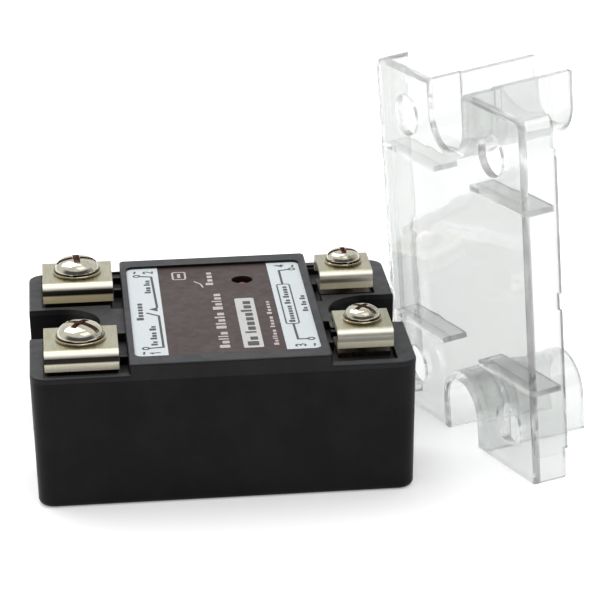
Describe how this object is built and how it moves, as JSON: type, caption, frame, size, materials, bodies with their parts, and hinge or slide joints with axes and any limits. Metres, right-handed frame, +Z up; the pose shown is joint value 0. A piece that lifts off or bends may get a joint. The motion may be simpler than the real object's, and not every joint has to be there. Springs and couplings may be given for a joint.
{
  "type": "solid state relay",
  "caption": "Flat panel-mount solid state relay with screw clamp terminals in sunk pockets, end mounting notches, a metal base, and a loose clear snap cover.",
  "frame": {"origin": "centre of the two mounting holes, on the underside of the metal base", "axes": "+X along the length towards the input terminals, +Y across to the rear terminals, +Z up from the heat sink"},
  "size_m": [0.0867, 0.048, 0.0594],
  "materials": {
    "housing_plastic": "satin black moulded thermoplastic",
    "lid_plastic": "fine matt dark grey moulded thermoplastic",
    "base_metal": "milled plate",
    "printed_label": "printed sheet, bluish white ends round a brown-grey middle",
    "alumina": "white alumina",
    "silicon": "dark polished die",
    "copper": "bright copper clip",
    "tinned_pin": "tinned wire",
    "potting_resin": "soft cast resin",
    "board_laminate": "green solder mask",
    "chip_plastic": "moulded epoxy",
    "resistor_coat": "tan lacquer",
    "film_capacitor": "red dipped epoxy",
    "can_aluminium": "sleeved can",
    "lamp_red": "tinted epoxy lamp",
    "plated_copper": "nickel plated copper alloy",
    "zinc_steel": "zinc plated steel",
    "clamp_plate": "warm nickel plate",
    "screw_plate": "bright nickel plate",
    "clear_plastic": "clear moulded plastic, slightly grey"
  },
  "bodies": {
    "relay": {"case": "housing_plastic", "base_plate": "base_metal", "top_lid": "lid_plastic", "label": "printed_label", "ceramic_substrate": "alumina", "thyristor_dies": "silicon", "die_jumpers": "copper", "gate_pins": "tinned_pin", "potting": "potting_resin", "circuit_board": "board_laminate", "optocoupler": "chip_plastic", "bridge_rectifier": "chip_plastic", "gate_resistors": "resistor_coat", "input_resistors": "resistor_coat", "snubber_resistor": "resistor_coat", "snubber_capacitor": "film_capacitor", "input_capacitor": "can_aluminium", "drive_transistor": "chip_plastic", "led": "lamp_red", "terminal_bar_1": "plated_copper", "terminal_nut_1": "zinc_steel", "terminal_bar_2": "plated_copper", "terminal_nut_2": "zinc_steel", "terminal_bar_3": "plated_copper", "terminal_nut_3": "zinc_steel", "terminal_bar_4": "plated_copper", "terminal_nut_4": "zinc_steel"},
    "clamp_1": {"clamp_1": "clamp_plate"},
    "screw_1": {"terminal_screw_1": "screw_plate"},
    "clamp_2": {"clamp_2": "clamp_plate"},
    "screw_2": {"terminal_screw_2": "screw_plate"},
    "clamp_3": {"clamp_3": "clamp_plate"},
    "screw_3": {"terminal_screw_3": "screw_plate"},
    "clamp_4": {"clamp_4": "clamp_plate"},
    "screw_4": {"terminal_screw_4": "screw_plate"},
    "cover": {"clear_cover": "clear_plastic"}
  },
  "joints": [
    {"name": "clamp_1_slide", "type": "slide", "parent": "relay", "child": "clamp_1", "axis": [0, 0, 1], "range_m": [-0.0014, 0.0028]},
    {"name": "screw_1_turn", "type": "hinge", "parent": "clamp_1", "child": "screw_1", "pos_m": [-0.02095, -0.01425, 0.0241], "axis": [0, 0, 1], "range_deg": [-722, 1442]},
    {"name": "clamp_2_slide", "type": "slide", "parent": "relay", "child": "clamp_2", "axis": [0, 0, 1], "range_m": [-0.0014, 0.0028]},
    {"name": "screw_2_turn", "type": "hinge", "parent": "clamp_2", "child": "screw_2", "pos_m": [-0.02095, 0.01425, 0.0241], "axis": [0, 0, 1], "range_deg": [-722, 1442]},
    {"name": "clamp_3_slide", "type": "slide", "parent": "relay", "child": "clamp_3", "axis": [0, 0, 1], "range_m": [-0.001, 0.0025]},
    {"name": "screw_3_turn", "type": "hinge", "parent": "clamp_3", "child": "screw_3", "pos_m": [0.0215, -0.01265, 0.0244], "axis": [0, 0, 1], "range_deg": [-722, 1802]},
    {"name": "clamp_4_slide", "type": "slide", "parent": "relay", "child": "clamp_4", "axis": [0, 0, 1], "range_m": [-0.001, 0.0025]},
    {"name": "screw_4_turn", "type": "hinge", "parent": "clamp_4", "child": "screw_4", "pos_m": [0.0215, 0.01265, 0.0244], "axis": [0, 0, 1], "range_deg": [-722, 1802]},
    {"name": "cover_lift", "type": "slide", "parent": "relay", "child": "cover", "axis": [0, 0, 1], "range_m": [0, 0.06]}
  ],
  "couplings": [
    {"joint": "screw_1_turn", "follows": "clamp_1_slide", "rad_per_m": 8976},
    {"joint": "screw_2_turn", "follows": "clamp_2_slide", "rad_per_m": 8976},
    {"joint": "screw_3_turn", "follows": "clamp_3_slide", "rad_per_m": 12566},
    {"joint": "screw_4_turn", "follows": "clamp_4_slide", "rad_per_m": 12566}
  ]
}
